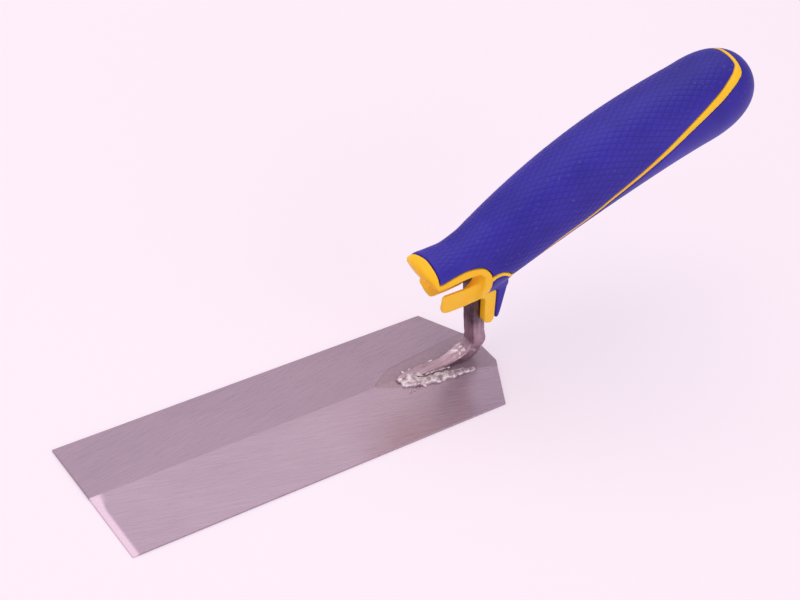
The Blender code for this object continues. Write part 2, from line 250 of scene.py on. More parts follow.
def line_distance(points, u, v):
    """Distance to an open line of points, and how far along it (in points) the nearest place is."""
    best, place = np.full(np.broadcast(u, v).shape, 1e6), 0.0
    for i, ((u0, v0), (u1, v1)) in enumerate(zip(points, points[1:])):
        du, dv = u1 - u0, v1 - v0
        t = np.clip(((u - u0) * du + (v - v0) * dv) / (du * du + dv * dv), 0, 1)
        away = np.hypot(u - u0 - t * du, v - v0 - t * dv)
        place = np.where(away < best, i + t, place)
        best = np.minimum(best, away)
    return best, place


def outline_distance(outline, u, v):
    """Distance outside a closed outline, negative within it."""
    closed = np.vstack([outline, outline[:1]])
    inside = np.zeros(np.broadcast(u, v).shape, bool)
    for (u0, v0), (u1, v1) in zip(closed, closed[1:]):
        if v0 != v1:
            inside ^= ((v0 > v) != (v1 > v)) & (u < (u1 - u0) * (v - v0) / (v1 - v0) + u0)
    away = line_distance(closed, u, v)[0]
    return np.where(inside, -away, away)


def smooth_max(a, b, blend):
    """The larger of two distances, with the corner between them rounded."""
    return np.maximum(a, b) + np.maximum(blend - np.abs(a - b), 0) ** 2 / (4 * blend)


def smooth_min(a, b, blend):
    return -smooth_max(-a, -b, blend)


def ripples(x, y, z, size, seed, waves=14):
    """Smooth seeded noise between about -1 and 1, with features of this size."""
    rng = np.random.default_rng(seed)
    total = 0.0
    for _ in range(waves):
        heading = rng.normal(size=3)
        heading *= rng.uniform(0.6, 1.6) * math.pi / size / np.linalg.norm(heading)
        total = total + np.sin(heading[0] * x + heading[1] * y + heading[2] * z + rng.uniform(0, 2 * math.pi))
    return total / math.sqrt(waves)


# ---- meshes ----


def new_piece(name, points, faces, finish, node=None, sharp=None):
    """A mesh object that rides on the frame and stands for a CAD node."""
    mesh = bpy.data.meshes.new(name)
    mesh.from_pydata((np.asarray(points) * MM).tolist(), [], [list(map(int, face)) for face in faces])
    mesh.shade_smooth()
    if sharp:
        mesh.set_sharp_from_angle(angle=math.radians(sharp))
    mesh.materials.append(finish)
    piece = bpy.data.objects.new(name, mesh)
    bpy.context.scene.collection.objects.link(piece)
    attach(piece, "root")
    if node:
        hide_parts(node)
    return piece


def add_point_values(piece, name, values):
    layer = piece.data.attributes.new(name, "FLOAT", "POINT")
    layer.data.foreach_set("value", np.asarray(values, np.float32))


def add_uv(piece, pairs):
    """A UV layer from one pair of millimetres for each vertex."""
    layer = piece.data.uv_layers.new(name="flow")
    corners = np.empty(len(piece.data.loops), np.int32)
    piece.data.loops.foreach_get("vertex_index", corners)
    layer.data.foreach_set("uv", np.asarray(pairs, np.float32)[corners].ravel())


CORNERS = [(i, j, k) for i in (0, 1) for j in (0, 1) for k in (0, 1)]
CELL_EDGES = [(a, b) for a in CORNERS for b in CORNERS if a < b and sum(p != q for p, q in zip(a, b)) == 1]


def grid_line(*stretches):
    """Grid coordinates from stretches of start, end and step."""
    return np.concatenate([np.arange(*stretch) for stretch in stretches])


def surface_of(field, axes):
    """Points and quads where a field changes sign on a grid, one point to each crossed cell."""
    shaped = np.ix_(*(axis.astype(np.float32) for axis in axes))
    values = np.broadcast_to(field(*shaped), [len(axis) for axis in axes]).astype(np.float32)
    inside = values < 0
    nx, ny, nz = (n - 1 for n in values.shape)
    filled = sum(inside[i : i + nx, j : j + ny, k : k + nz].astype(np.uint8) for i, j, k in CORNERS)
    crossed = (filled > 0) & (filled < 8)
    cells = np.argwhere(crossed)
    number = np.full(crossed.shape, -1, np.int32)
    number[crossed] = np.arange(len(cells))
    total, hits = np.zeros((len(cells), 3)), np.zeros(len(cells))
    for a, b in CELL_EDGES:
        first, second = cells + a, cells + b
        va, vb = values[tuple(first.T)], values[tuple(second.T)]
        cut = (va < 0) != (vb < 0)
        share = np.where(cut, va / np.where(cut, va - vb, 1), 0)
        start = np.stack([axis[first[:, d]] for d, axis in enumerate(axes)], 1)
        end = np.stack([axis[second[:, d]] for d, axis in enumerate(axes)], 1)
        total += (start + share[:, None] * (end - start)) * cut[:, None]
        hits += cut
    quads = []
    for d in range(3):
        u, v = (d + 1) % 3, (d + 2) % 3
        step_u, step_v = np.eye(3, dtype=int)[[u, v]]
        low = [slice(1, -1)] * 3
        low[d] = slice(0, -1)
        high = list(low)
        high[d] = slice(1, None)
        change = inside[tuple(low)] != inside[tuple(high)]
        at = np.argwhere(change) + step_u + step_v
        ring = np.stack([number[tuple(q.T)] for q in (at - step_u - step_v, at - step_v, at, at - step_u)], 1)
        leaving = inside[tuple(at.T)]
        quads.append(np.where(leaving[:, None], ring, ring[:, ::-1]))
    return total / hits[:, None], np.concatenate(quads)


def settle(points, field, passes=2, probe=0.03, most=0.25):
    """Moves points onto the field's zero surface."""
    for _ in range(passes):
        value = field(*points.T)
        slope = np.stack([field(*(points + shift).T) - value for shift in np.eye(3) * probe], 1) / probe
        move = value[:, None] * slope / np.maximum((slope**2).sum(1), 0.2)[:, None]
        length = np.linalg.norm(move, axis=1, keepdims=True)
        points = points - move * np.minimum(1, most / np.maximum(length, 1e-9))
    return points


def lofted(rings):
    """Points and faces of a closed body through rings of equal count."""
    count = len(rings[0])
    points = np.concatenate(rings)
    faces = []
    for r in range(len(rings) - 1):
        for i in range(count):
            j = (i + 1) % count
            faces.append((r * count + i, r * count + j, (r + 1) * count + j, (r + 1) * count + i))
    faces.append(range(count - 1, -1, -1))
    faces.append(range((len(rings) - 1) * count, len(rings) * count))
    return points, faces


# ---- materials ----


class Finish:
    """A node material: each call adds a node and returns its output."""

    def __init__(self, name):
        self.material = bpy.data.materials.new(name)
        self.material.use_nodes = True
        self.tree = self.material.node_tree
        self.shader = self.tree.nodes["Principled BSDF"]

    def feed(self, socket, value):
        if isinstance(value, bpy.types.NodeSocket):
            self.tree.links.new(value, socket)
        else:
            socket.default_value = value

    def node(self, kind, inputs, output=0, **settings):
        made = self.tree.nodes.new("ShaderNode" + kind)
        for name, value in settings.items():
            setattr(made, name, value)
        for name, value in inputs.items():
            self.feed(made.inputs[name], value)
        return made.outputs[output]

    def math(self, operation, a, b=0.0, c=0.0, clamp=False):
        return self.node("Math", {0: a, 1: b, 2: c}, operation=operation, use_clamp=clamp)

    def coordinates(self, scale=(1, 1, 1), turn=0.0):
        """Object coordinates turned about Z, then scaled."""
        place = self.node("TexCoord", {}, output="Object")
        turned = self.node("Mapping", {"Vector": place, "Rotation": (0, 0, -turn)})
        return self.node("Mapping", {"Vector": turned, "Scale": scale})

    def flow(self, scale=(1, 1, 1)):
        """The mesh's own coordinates along and round it, in millimetres."""
        return self.node("Mapping", {"Vector": self.node("UVMap", {}, uv_map="flow"), "Scale": scale})

    def noise(self, vector, scale=1.0, detail=3.0, roughness=0.55):
        inputs = {"Vector": vector, "Scale": scale, "Detail": detail, "Roughness": roughness}
        return self.node("TexNoise", inputs)

    def spread(self, value, low, high, to_low=0.0, to_high=1.0, smooth=False):
        """Maps a range onto another, clamped."""
        inputs = {"Value": value, "From Min": low, "From Max": high, "To Min": to_low, "To Max": to_high}
        return self.node("MapRange", inputs, interpolation_type="SMOOTHSTEP" if smooth else "LINEAR")

    def mix(self, share, a, b, blend="MIX"):
        made = self.tree.nodes.new("ShaderNodeMix")
        made.data_type = "RGBA"
        made.blend_type = blend
        for i, value in ((0, share), (6, a), (7, b)):
            self.feed(made.inputs[i], value)
        return made.outputs[2]

    def value(self, name):
        return self.node("Attribute", {}, output="Fac", attribute_name=name)

    def pointiness(self):
        return self.node("NewGeometry", {}, output="Pointiness")

    def bump(self, height, distance, normal=None, strength=1.0):
        inputs = {"Height": height, "Distance": distance, "Strength": strength}
        if normal is not None:
            inputs["Normal"] = normal
        return self.node("Bump", inputs)

    def surface(self, **inputs):
        for name, value in inputs.items():
            self.feed(self.shader.inputs[name.replace("_", " ")], value)
        return self.material


def colour(red, green, blue):
    """An sRGB colour in 0-255 as the linear values a shader takes."""
    shares = (c / 255 for c in (red, green, blue))
    return tuple(c / 12.92 if c <= 0.04045 else ((c + 0.055) / 1.055) ** 2.4 for c in shares) + (1.0,)


def ground_steel():
    f = Finish("ground_steel")
    place = f.node("TexCoord", {}, output="Object")
    y = f.node("SeparateXYZ", {"Vector": place}, output="Y")
    near = f.math("LESS_THAN", y, CREASE_Y * MM)
    land = f.value("land")

    def scratches(along, across):
        """Grinding marks of this length and width in mm, heading its own way on each half."""
        scale = (1 / along / MM, 1 / across / MM, 1)
        here = f.noise(f.coordinates(scale, NEAR_GRIND), detail=2)
        there = f.noise(f.coordinates(scale, FAR_GRIND), detail=2)
        return f.node("Mix", {0: near, 2: there, 3: here})

    fine, broad = scratches(7, 0.4), scratches(26, 1.1)
    smear = f.noise(f.coordinates((40, 60, 40)), detail=2)
    shade = f.math("MULTIPLY_ADD", f.math("SUBTRACT", fine, 0.5), 0.55, 0.5)
    shade = f.math("MULTIPLY_ADD", f.math("SUBTRACT", broad, 0.5), 0.35, shade)
    shade = f.math("MULTIPLY_ADD", f.math("SUBTRACT", smear, 0.5), 0.25, shade, clamp=True)
    # Painted light: the near half is painted lighter and the far half darker, standing in for the different
    # light on the two faces of the fold. The scratch headings of the two halves are real.
    lit_near_steel = f.mix(shade, colour(144, 119, 137), colour(191, 164, 183))
    shaded_far_steel = f.mix(shade, colour(138, 114, 132), colour(178, 150, 170))
    steel = f.mix(near, shaded_far_steel, lit_near_steel)
    steel = f.mix(f.math("MULTIPLY", f.value("bevel"), 0.7), steel, colour(232, 200, 220))
    mottle = f.noise(f.coordinates((700, 700, 700)), detail=4)
    scale_grey = f.mix(mottle, colour(132, 106, 118), colour(186, 158, 170))
    steel = f.mix(f.math("MULTIPLY", land, 0.55), steel, scale_grey)
    heading_near = (-math.sin(NEAR_GRIND), math.cos(NEAR_GRIND), 0)
    heading_far = (-math.sin(FAR_GRIND), math.cos(FAR_GRIND), 0)
    across = f.node("Mix", {0: near, 4: heading_far, 5: heading_near}, output=1, data_type="VECTOR")
    rough = f.spread(fine, 0.25, 0.75, 0.24, 0.36)
    rough = f.math("ADD", rough, f.math("MULTIPLY", land, 0.12))
    height = f.math("ADD", f.math("MULTIPLY", fine, 0.7), f.math("MULTIPLY", broad, 0.3))
    return f.surface(
        Base_Color=steel, Metallic=0.36, Roughness=rough, Anisotropic=0.75, Tangent=across,
        Normal=f.bump(height, 0.03 * MM, strength=0.6),
    )


def bar_steel():
    f = Finish("bar_steel")
    drawn = f.noise(f.flow((0.06, 2.2, 1)), detail=4)
    mottle = f.noise(f.coordinates((500, 500, 500)), detail=5, roughness=0.65)
    streaks = f.math("ADD", f.math("MULTIPLY", drawn, 0.65), f.math("MULTIPLY", mottle, 0.35))
    shade = f.spread(streaks, 0.32, 0.68)
    steel = f.mix(shade, colour(70, 48, 56), colour(128, 106, 116))
    z = f.node("SeparateXYZ", {"Vector": f.node("TexCoord", {}, output="Object")}, output="Z")
    # Painted shadow: the bar is painted dark above about 14-22 mm as the collar's shadow, and lighter below
    # that, where it is lit.
    out_of_collar_shadow = f.spread(z, 14 * MM, 22 * MM, 1, 0, smooth=True)
    lit_share = f.math("ADD", out_of_collar_shadow, f.math("MULTIPLY", f.math("SUBTRACT", mottle, 0.5), 0.7), clamp=True)
    bright = f.mix(shade, colour(136, 108, 122), colour(206, 176, 190))
    steel = f.mix(lit_share, steel, bright)
    # Partly painted highlight: pale patches round the elbow stand for weld spatter and also for the glint on
    # the bend's inner front.
    spatter_and_glint = f.spread(f.noise(f.coordinates((650, 650, 650)), detail=3), 0.52, 0.6)
    elbow = f.spread(z, 6 * MM, 10 * MM, 1, 0, smooth=True)
    elbow = f.math("MULTIPLY", elbow, f.spread(z, 3.6 * MM, 5 * MM, smooth=True))
    steel = f.mix(f.math("MULTIPLY", spatter_and_glint, f.math("MULTIPLY", elbow, 0.7)), steel, colour(240, 224, 232))
    worn = f.spread(f.pointiness(), 0.52, 0.6)
    steel = f.mix(f.math("MULTIPLY", worn, 0.5), steel, colour(190, 176, 180))
    rough = f.spread(mottle, 0.3, 0.7, 0.36, 0.56)
    height = f.math("ADD", f.math("MULTIPLY", drawn, 0.6), f.math("MULTIPLY", mottle, 0.4))
    return f.surface(Base_Color=steel, Metallic=1.0, Roughness=rough, Normal=f.bump(height, 0.12 * MM))


def weld_metal():
    f = Finish("weld_metal")
    grit = f.noise(f.coordinates((1400, 1400, 1400)), detail=5, roughness=0.7)
    patch = f.noise(f.coordinates((420, 420, 420)), detail=3)
    shade = f.spread(f.math("ADD", f.math("MULTIPLY", grit, 0.4), f.math("MULTIPLY", patch, 0.6)), 0.4, 0.6)
    metal = f.mix(shade, colour(166, 138, 150), colour(250, 236, 244))
    # Painted shade: the hollows between the beads are painted dark.
    out_of_hollow_shade = f.spread(f.pointiness(), 0.42, 0.52)
    metal = f.mix(out_of_hollow_shade, colour(122, 94, 104), metal)
    pits = f.spread(f.noise(f.coordinates((760, 760, 760)), detail=2), 0.28, 0.36)
    metal = f.mix(pits, colour(128, 100, 110), metal)
    rough = f.spread(patch, 0.35, 0.65, 0.28, 0.5)
    return f.surface(Base_Color=metal, Metallic=0.65, Roughness=rough, Normal=f.bump(grit, 0.05 * MM))


def core_plastic():
    f = Finish("core_plastic")
    cloud = f.noise(f.coordinates((90, 90, 90)), detail=3)
    grain = f.noise(f.coordinates((2600, 2600, 2600)), detail=2)
    yellow = f.mix(f.spread(cloud, 0.35, 0.65), colour(254, 186, 12), colour(255, 200, 30))
    # Painted highlight: convex edges are painted paler yellow.
    edge = f.spread(f.pointiness(), 0.52, 0.62)
    yellow = f.mix(f.math("MULTIPLY", edge, 0.4), yellow, colour(255, 214, 104))
    # Painted shade: recesses and inner corners are painted darker orange.
    recess_shade = f.spread(f.pointiness(), 0.38, 0.48, 1, 0)
    yellow = f.mix(f.math("MULTIPLY", recess_shade, 0.5), yellow, colour(196, 104, 12))
    return f.surface(
        Base_Color=yellow, Roughness=f.spread(grain, 0.3, 0.7, 0.36, 0.48), Specular_IOR_Level=0.36,
        Subsurface_Weight=0.12, Subsurface_Radius=(1.0, 0.5, 0.1), Subsurface_Scale=1.2 * MM,
        Normal=f.bump(grain, 0.012 * MM),
    )


def grip_rubber(name, hatched):
    f = Finish(name)
    cloud = f.noise(f.coordinates((45, 45, 45)), detail=3)
    grain = f.noise(f.coordinates((3200, 3200, 3200)), detail=2)
    blue = f.mix(f.spread(cloud, 0.35, 0.65), colour(38, 23, 142), colour(50, 34, 162))
    height = f.math("MULTIPLY", grain, 0.25)
    rough = f.spread(grain, 0.3, 0.7, 0.44, 0.56)
    if hatched:
        uv = f.node("UVMap", {}, uv_map="flow")
        along, around = (f.node("SeparateXYZ", {"Vector": uv}, output=i) for i in range(2))
        grooves = None
        for side in (-1, 1):
            across = f.math("ADD", f.math("MULTIPLY", along, math.sin(HATCH_TURN) / HATCH_PITCH),
                            f.math("MULTIPLY", around, side * math.cos(HATCH_TURN) / HATCH_PITCH))
            wave = f.math("ABSOLUTE", f.math("SINE", f.math("MULTIPLY", across, math.pi)))
            groove = f.spread(wave, 0.0, 0.5, 1, 0, smooth=True)
            grooves = groove if grooves is None else f.math("MAXIMUM", grooves, groove)
        faded = f.math("MULTIPLY", grooves, f.value("hatch"))
        # Painted shade: the hatch grooves are also painted darker.
        blue = f.mix(f.math("MULTIPLY", faded, 0.5), blue, colour(20, 12, 104))
        height = f.math("SUBTRACT", height, faded)
    worn = f.spread(f.pointiness(), 0.53, 0.62)
    blue = f.mix(f.math("MULTIPLY", worn, 0.25), blue, colour(96, 90, 178))
    return f.surface(
        Base_Color=blue, Roughness=rough, Specular_IOR_Level=0.32, Sheen_Weight=0.06, Sheen_Roughness=0.4,
        Sheen_Tint=colour(190, 180, 255), Normal=f.bump(height, 0.04 * MM, strength=0.6),
    )


def floor_paint():
    """A pale floor that glows a little, which keeps its shadows light."""
    f = Finish("floor_paint")
    cloud = f.noise(f.coordinates((3, 3, 3)), detail=2)
    pale = f.mix(cloud, colour(181, 170, 179), colour(183, 172, 181))
    return f.surface(
        Base_Color=pale, Roughness=0.9, Specular_IOR_Level=0.1,
        Emission_Color=colour(255, 240, 251), Emission_Strength=0.5,
    )


# ---- blade ----


def rear_edge(y):
    """X of the rear edge, with both corners cut."""
    return REAR - CORNER_CUT * np.maximum(np.abs(y) - REAR_EDGE_HALF, 0) / (HALF_WIDTH - REAR_EDGE_HALF)


def land_share(x, y):
    """1 on the unground land, 0 on the ground faces, with a slightly uneven boundary."""
    away = outline_distance(softened(LAND, 1), x, y) + 0.12 * ripples(x, y, 0, 3.5, SEED)
    return smooth_share(away, LAND_STEP / 2, -LAND_STEP / 2)


def blade_top(x, y):
    """Height of the blade's upper face."""
    near, far = (CREASE_Y - y) / (CREASE_Y + HALF_WIDTH), (y - CREASE_Y) / (HALF_WIDTH - CREASE_Y)
    reach = np.where(y < CREASE_Y, near, far)
    ground = CREASE_THICK + (SIDE_THICK - CREASE_THICK) * reach
    fade = (CREASE_Y - y) / BEVEL_FADE
    width = BEVEL_WIDTH * np.clip(fade, 0.02, 1)
    bevel = np.clip(1 - (x - FRONT) / width, 0, 1) ** 1.25 * BEVEL_DROP * np.clip(fade, 0, 1)
    return ground - bevel + LAND_RISE * land_share(x, y)


def bevel_share(x, y):
    """1 on the freshly ground bevel along the near half's front edge, which widens towards the crease."""
    width = BEVEL_WIDTH + BRIGHT_WIDENS * smooth_share(y, -6, CREASE_Y)
    return smooth_share(x, FRONT + width, FRONT + 0.6 * width) * (y < CREASE_Y)


def build_blade(finish):
    lengths = grid_line((0, 3.2, 0.2), (3.2, 102, 1.3), (102, REAR - FRONT, 0.28))
    shares = np.append(lengths, REAR - FRONT) / (REAR - FRONT)
    near = (-HALF_WIDTH, -10.5, 0.9), (-10.5, CREASE_Y, 0.26)
    far = (CREASE_Y, 12, 0.27), (12, HALF_WIDTH, 0.9)
    widths = np.append(grid_line(*near, *far), HALF_WIDTH) * (1 - EDGE_ROUND / HALF_WIDTH)
    y = np.repeat(widths[None, :], len(shares), 0)
    inset_front = FRONT + EDGE_ROUND
    x = inset_front + (rear_edge(y) - EDGE_ROUND - inset_front) * shares[:, None]
    top = np.stack([x, y, blade_top(x, y)], -1).reshape(-1, 3)
    rows, cols = x.shape
    index = np.arange(rows * cols).reshape(rows, cols)
    faces = [tuple(face) for face in np.stack(
        [index[:-1, :-1], index[1:, :-1], index[1:, 1:], index[:-1, 1:]], -1).reshape(-1, 4)]
    rim = np.concatenate([index[:-1, 0], index[-1, :-1], index[:0:-1, -1], index[0, :0:-1]])
    edge = top[rim]
    ahead, behind = np.roll(edge, -1, 0), np.roll(edge, 1, 0)
    outward = np.stack([ahead[:, 1] - behind[:, 1], behind[:, 0] - ahead[:, 0], 0 * ahead[:, 0]], 1)
    outward /= np.linalg.norm(outward, axis=1, keepdims=True)
    full = edge + outward * EDGE_ROUND
    full[:, :2] = np.clip(full[:, :2], (FRONT, -HALF_WIDTH), (REAR, HALF_WIDTH))
    loops = [
        np.column_stack([full[:, :2], full[:, 2] - EDGE_ROUND]),
        np.column_stack([full[:, :2], np.full(len(full), EDGE_ROUND)]),
        np.column_stack([edge[:, :2], np.zeros(len(full))]),
    ]
    count = len(rim)
    ids = [rim, *(rows * cols + i * count + np.arange(count) for i in range(3))]
    for upper, lower in zip(ids, ids[1:]):
        faces += [tuple(f) for f in np.stack([upper, lower, np.roll(lower, -1), np.roll(upper, -1)], 1)]
    faces.append(tuple(ids[-1][::-1]))
    points = np.vstack([top, *loops])
    piece = new_piece("blade_ground", points, faces, finish, "blade", sharp=40)
    land = land_share(points[:, 0], points[:, 1]) * (points[:, 2] > 0.5)
    add_point_values(piece, "land", land)
    add_point_values(piece, "bevel", bevel_share(points[:, 0], points[:, 1]))
    return piece


# ---- tang ----


def bar_section(thick, wide, steps=5):
    """A rounded rectangle as pairs of across and up."""
    round_off = BAR_ROUND * min(thick, wide)
    ring = []
    for corner in range(4):
        a = wide / 2 - round_off
        b = thick / 2 - round_off
        cx, cy = ((a, b), (-a, b), (-a, -b), (a, -b))[corner]
        for i in range(steps + 1):
            angle = math.pi / 2 * (corner + i / steps)
            ring.append((cx + round_off * math.cos(angle), cy + round_off * math.sin(angle)))
    return ring


def build_tang(finish):
    path = flowing(TANG_PATH, TANG_STEPS)
    heading = np.gradient(path[:, :2], axis=0)
    heading /= np.linalg.norm(heading, axis=1, keepdims=True)
    lengths = np.concatenate([[0], np.cumsum(np.linalg.norm(np.diff(path[:, :2], axis=0), axis=1))])
    rings, uv = [], []
    for (x, z, thick, wide), (dx, dz), length in zip(path, heading, lengths):
        section = bar_section(thick, wide)
        rings.append(np.array([(x - dz * up, across, z + dx * up) for across, up in section]))
        girth = np.cumsum([0, *(math.dist(a, b) for a, b in zip(section, section[1:]))])
        uv += [(length, g) for g in girth]
    points, faces = lofted(rings)
    dents = sum(ripples(*points.T, size, SEED + 1 + i) * depth for i, (size, depth) in enumerate(DENTS))
    spine = np.repeat(np.array([(x, 0, z) for x, z in path[:, :2]]), len(rings[0]), 0)
    away = points - spine
    away /= np.linalg.norm(away, axis=1, keepdims=True)
    points += away * dents[:, None]
    faces = [tuple(face)[::-1] for face in faces]
    piece = new_piece("tang_forged", points, faces, finish, "tang")
    add_uv(piece, uv)
    return piece


# ---- welds ----


def bead_field(side, blobs, crevice):
    """A weld bead as overlapping blobs on the blade's face, split by a crevice."""

    def field(x, y, z):
        total = None
        for cx, cy, cz, radius, tall in blobs:
            away = np.sqrt((x - cx) ** 2 + (y - side * cy) ** 2 + ((z - cz) / tall) ** 2) - radius
            total = away if total is None else smooth_min(total, away, BEAD_BLEND)
        for i, (size, height) in enumerate(BEAD_ROUGH):
            total = total + height * ripples(x, y, z, size, SEED + 3 + i)
        if crevice:
            half = CREVICE_HALF * (1 + 0.4 * ripples(x, y, 0 * z, 1.5, SEED + 5))
            cut = line_distance(crevice, x, side * y)[0] - half
            total = smooth_max(total, -np.maximum(cut, CREVICE_FLOOR - z), 0.25)
        return np.maximum(total, CREASE_THICK - BEAD_SUNK - z)

    return field


def bead_blobs(rng, line, count, height):
    """Blob centres and sizes along a line of x, distance from the centre line, and radius."""
    line = np.array(line, float)
    blobs = []
    for i in range(count):
        t = min(max((i + rng.uniform(-0.35, 0.35)) / (count - 1), 0), 1) * (len(line) - 1)
        x, across, radius = (np.interp(t, range(len(line)), line[:, k]) for k in range(3))
        blobs.append((x, across + rng.uniform(-0.3, 0.3), height + rng.uniform(-0.1, 0.15),
                      radius * rng.uniform(0.92, 1.1), rng.uniform(0.55, 0.75)))
    return blobs


def spatter(rng, start, end, inner, outer, count):
    """Small loose beads beside a weld."""
    shares = rng.uniform(0, 1, count)
    return [(start + (end - start) * t, inner + (outer - inner) * rng.uniform(0.5, 1.0), CREASE_THICK + 0.1,
             rng.uniform(0.25, 0.5), 0.8) for t in shares]


def build_weld(name, node, side, blobs, crevice, finish):
    field = bead_field(side, blobs, crevice)
    reach = np.array(blobs)
    ends = side * reach[:, 1].min(), side * reach[:, 1].max()
    axes = (grid_line((reach[:, 0].min() - WELD_MARGIN, reach[:, 0].max() + WELD_MARGIN, WELD_CELL)),
            grid_line((min(ends) - WELD_MARGIN, max(ends) + WELD_MARGIN, WELD_CELL)),
            grid_line((CREASE_THICK - 0.6, CREASE_THICK + 4, WELD_CELL)))
    points, faces = surface_of(field, axes)
    return new_piece(name, settle(points, field, 1), faces, finish, node)


def build_welds(finish):
    rng = np.random.default_rng(SEED)
    near = bead_blobs(rng, FILLET, count=24, height=CREASE_THICK + 0.2)
    near += bead_blobs(rng, CAP, count=15, height=CREASE_THICK + 0.7)
    near += spatter(rng, start=39, end=62, inner=4.2, outer=6.6, count=26)
    far = bead_blobs(rng, FAR_FILLET, count=22, height=CREASE_THICK - 0.05)
    far += spatter(rng, start=42, end=60, inner=2.6, outer=3.4, count=8)
    build_weld("weld_near", "weld_bead_near", -1, near, CREVICE, finish)
    build_weld("weld_far", "weld_bead_far", 1, far, None, finish)


# ---- handle ----


def grip_radius(along):
    return GRIP_RADIUS - (GRIP_RADIUS - NECK_RADIUS) * np.maximum(1 - along / NECK_TO_FULL, 0) ** 2


def grip_centre(along):
    return ARCH_RISE - (np.minimum(along, DOME_START) - ARCH_TOP) ** 2 / (2 * ARCH_RADIUS)


def grip_section(along):
    """A round section of the grip, as a row like those of the thumb rest."""
    radius, centre = grip_radius(along), grip_centre(along)
    return along, radius, centre + radius, centre - radius, 2.0, 0.0


SECTIONS = [*REST_SECTIONS, *(grip_section(float(along)) for along in range(0, 116, 4))]
STATIONS, HALVES, TOPS, BOTTOMS, POWERS, FALLS = np.array(SECTIONS, float).T


def outer_form(x, y, z):
    """Distance outside the handle's whole outer form."""
    columns = (HALVES, TOPS, BOTTOMS, POWERS, FALLS)
    half, top, bottom, power, fall = (through(STATIONS, values, x) for values in columns)
    tall, middle = (top - bottom) / 2, (top + bottom) / 2
    out = np.abs(y) / half
    arch = (np.sqrt(out**2 + ARCH_SHARP**2) - ARCH_SHARP) / (math.hypot(1, ARCH_SHARP) - ARCH_SHARP)
    high = z + fall * arch * np.clip((z - middle) / tall, 0, 1)
    across = (out**power + (np.abs(high - middle) / tall) ** power) ** (1 / power)
    dome = np.maximum(x - DOME_START, 0) / (BUTT_END - DOME_START)
    reach = (across**DOME_POWER + dome**DOME_POWER) ** (1 / DOME_POWER)
    lift = np.clip((z - LIP_FOOT) / (LIP_CREST - LIP_FOOT), 0, 1)
    lip = LIP_BULGE * (1 - LIP_FADE * np.minimum(out, 1) ** 2) * np.sqrt(1 - (1 - lift) ** 2)
    return smooth_max((reach - 1) * np.minimum(half, tall), REST_FRONT - lip - x, BLEND["rest"])


def side_view(x, z):
    """Frame X and Z of a place in the handle's own frame."""
    along, up = math.cos(PITCH), math.sin(PITCH)
    return NECK_X + x * along - z * up, NECK_Z + x * up + z * along


RING_CURVE = flowing(RING_EDGE, 6)
FRONT_REGION = np.vstack([[(20, 26), (20, 80), (RING_EDGE[0][0], 80)], RING_CURVE])
STRIPE_CURVE = flowing(STRIPE, 5)
ABOVE_STRIPE = np.vstack([STRIPE_CURVE[:, :2], [(STRIPE[-1][0], 60), (-60, 60), (-60, STRIPE[0][1])]])
UNDERCUT_CURVE = softened(UNDERCUT)
PRONG_CURVE = softened(PRONG)
CHANNEL_CURVE = softened(CHANNEL, 1)
LEG_CURVE = softened(LEG)


def stripe_fields(x, y, z):
    """Signed distance above the stripe's centre line, and half the stripe's width there."""
    run = smooth_share(x, *FAR_STRIPE_IN) * smooth_share(x, *FAR_STRIPE_OUT)
    z = z + FAR_STRIPE_DROP * smooth_share(y, *FAR_STRIPE_ACROSS) * run
    away, place = line_distance(STRIPE_CURVE[:, :2], x, z)
    half = np.interp(place, np.arange(len(STRIPE_CURVE)), STRIPE_CURVE[:, 2]) / 2
    return -np.sign(outline_distance(ABOVE_STRIPE, x, z)) * away, half


def prong_form(x, y, z):
    """The two prongs and the foot of the ring they spring from, before the gap between them is cut."""
    wx, wz = side_view(x, z)
    far_wx = wx + FAR_REACH * np.clip((PRONG_SPREAD[0] - wx) / FAR_REACH_FADE, 0, 1)
    near_outline, far_outline = [outline_distance(PRONG_CURVE, reach, wz) for reach in (wx, far_wx)]
    outline = np.where(y > 0, far_outline, near_outline)
    wx = np.where(y > 0, far_wx, wx)
    spread = smooth_share(wx, *PRONG_SPREAD)
    low, high = PRONG_SPREAD_FOOT
    half = HOUSING_HALF + (RING_HALF - HOUSING_HALF) * spread * np.clip((wz - low) / (high - low), 0, 1)
    side = smooth_max(np.abs(y) - half, PRONG_FOOT - wz, BLEND["prong"])
    body = smooth_max(outline, side, BLEND["mould"])
    slope = (wz - PRONG_TOP + (HOUSING_HALF - np.abs(y))) / math.sqrt(2) - PRONG_CREST_FADE * spread
    slant = (PRONG_TIP + PRONG_SLANT * (HOUSING_HALF - np.abs(y)) - wx) / math.hypot(1, PRONG_SLANT)
    lean = (FAR_TIP[0] + FAR_TIP_LEAN * (FAR_TIP[1] - wz) - wx) / math.hypot(1, FAR_TIP_LEAN)
    ends = smooth_max(slant, np.where(y > 0, lean, DEEP_INSIDE), BLEND["mould"])
    return smooth_max(smooth_max(body, slope, BLEND["slope"]), ends, BLEND["tip"])


def channel_form(x, y, z):
    """The channel that runs down behind the tang."""
    wx, wz = side_view(x, z)
    channel = smooth_max(outline_distance(CHANNEL_CURVE, wx, wz), np.abs(y) - HOUSING_HALF, BLEND["crisp"])
    inside = np.maximum(outline_distance(np.array(HOUSING), wx, wz), np.abs(y) - HOUSING_INNER_HALF)
    return np.minimum(channel, inside)


